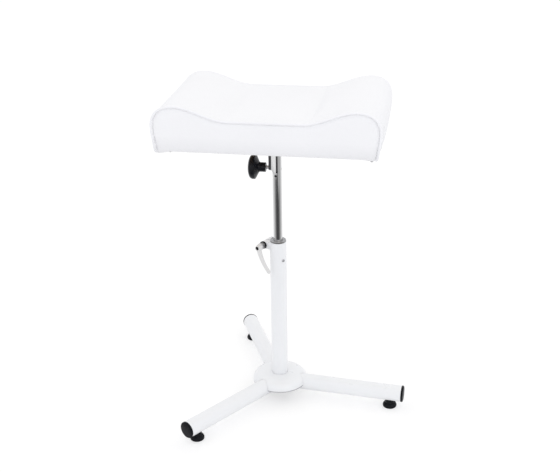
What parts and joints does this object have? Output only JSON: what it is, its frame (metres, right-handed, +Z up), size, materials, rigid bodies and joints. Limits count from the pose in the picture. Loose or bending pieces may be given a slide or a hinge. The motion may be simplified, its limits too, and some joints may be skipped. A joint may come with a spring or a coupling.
{
  "type": "pedicure footrest",
  "caption": "Padded saddle-shaped foot and leg rest that tilts on a sliding, swivelling chrome post, on a tripod stand of round tube with a tilt knob and a clamp lever.",
  "frame": {"origin": "on the floor, under the middle of the object's bounding box", "axes": "+Z up; the front of the footrest faces -Y; the cushion's tilt axis runs along X, with the knob towards -X"},
  "size_m": [0.4279, 0.4237, 0.6014],
  "materials": {
    "white_paint": "semi-gloss white powder coat",
    "black_plastic": "moulded black plastic",
    "knob_plastic": "smooth black plastic",
    "chrome": "polished chrome plate",
    "satin_metal": "satin turned metal",
    "zinc_steel": "zinc plate",
    "dark_steel": "satin black paint",
    "plywood": "bare plywood",
    "white_vinyl": "white upholstery vinyl over foam",
    "piping_vinyl": "white vinyl piping"
  },
  "bodies": {
    "base": {"leg_front_left": "white_paint", "leg_right": "white_paint", "leg_rear": "white_paint", "leg_cap_front_left": "black_plastic", "leg_cap_right": "black_plastic", "leg_cap_rear": "black_plastic", "glide_front_left": "black_plastic", "glide_right": "black_plastic", "glide_rear": "black_plastic", "glide_stem_front_left": "zinc_steel", "glide_stem_right": "zinc_steel", "glide_stem_rear": "zinc_steel", "hub_cover": "white_paint", "hub_core": "white_paint", "base_bolt": "zinc_steel", "base_washer": "zinc_steel", "column": "white_paint", "column_foot_plug": "zinc_steel", "guide_bush": "satin_metal", "bush_screw": "zinc_steel", "clamp_lug_front": "white_paint", "clamp_lug_rear": "white_paint", "clamp_nut": "zinc_steel"},
    "clamp_screw": {"clamp_screw": "satin_metal", "clamp_ring": "black_plastic", "lever_screw": "black_plastic"},
    "clamp_lever": {"clamp_lever": "white_paint", "lever_spring": "zinc_steel"},
    "post_guide": {"guide_plug": "black_plastic"},
    "post": {"post": "chrome", "guide_washer": "zinc_steel", "guide_screw": "zinc_steel"},
    "cushion": {"bracket_ear": "dark_steel", "bracket_tongue": "dark_steel", "mounting_plate": "dark_steel", "plate_screw_1": "zinc_steel", "plate_screw_2": "zinc_steel", "plate_screw_3": "zinc_steel", "plate_screw_4": "zinc_steel", "seat_board": "plywood", "cushion": "white_vinyl", "piping_front": "piping_vinyl", "piping_back": "piping_vinyl"},
    "knob": {"tilt_knob": "knob_plastic", "pivot_stud": "zinc_steel"}
  },
  "joints": [
    {"name": "post_slide", "type": "slide", "parent": "base", "child": "post_guide", "axis": [0, 0, 1], "range_m": [-0.11, 0.09]},
    {"name": "post_swivel", "type": "hinge", "parent": "post_guide", "child": "post", "pos_m": [-0.02347, -0.00809, 0.172], "axis": [0, 0, 1], "continuous": true},
    {"name": "cushion_tilt", "type": "hinge", "parent": "post", "child": "cushion", "pos_m": [-0.02347, -0.00809, 0.461], "axis": [1, 0, 0], "range_deg": [-45, 45]},
    {"name": "knob_turn", "type": "hinge", "parent": "post", "child": "knob", "pos_m": [-0.02347, -0.00809, 0.461], "axis": [-1, 0, 0], "range_deg": [0, 360]},
    {"name": "clamp_turn", "type": "hinge", "parent": "base", "child": "clamp_screw", "pos_m": [-0.04522, 0.00205, 0.3106], "axis": [-0.4226, -0.9063, 0], "range_deg": [0, 70]},
    {"name": "lever_lift", "type": "slide", "parent": "clamp_screw", "child": "clamp_lever", "axis": [-0.4226, -0.9063, 0], "range_m": [0, 0.0028], "stiffness_N_per_m": 800, "springref_m": -0.002, "deforming": ["lever_spring"]}
  ]
}
